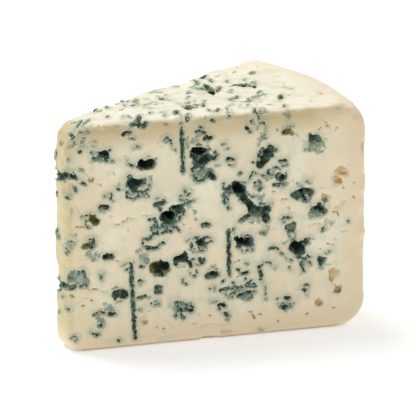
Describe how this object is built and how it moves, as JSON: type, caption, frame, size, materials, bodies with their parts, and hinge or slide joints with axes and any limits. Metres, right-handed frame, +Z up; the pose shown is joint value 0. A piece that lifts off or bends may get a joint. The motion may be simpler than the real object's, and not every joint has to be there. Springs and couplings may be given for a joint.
{
  "type": "blue cheese wedge",
  "caption": "Full-height wedge cut from a rindless wheel of blue cheese: two flat cut faces with mould-lined crevices and needle tracks, a curved rind side and a blunt tip.",
  "frame": {"origin": "under the middle of the wedge's box, on the flat base that it stands on", "axes": "+Z up, from the base of the wheel to its top; +X along the front cut face, from the blunt tip to the rind; +Y from the front cut face into the cheese, so the front cut face looks along -Y"},
  "size_m": [0.1316, 0.0776, 0.098],
  "materials": {
    "cheese_paste": "moist crumbly cream paste with blue-green mould in its crevices"
  },
  "bodies": {
    "root": {"cheese_wedge": "cheese_paste"}
  },
  "joints": []
}
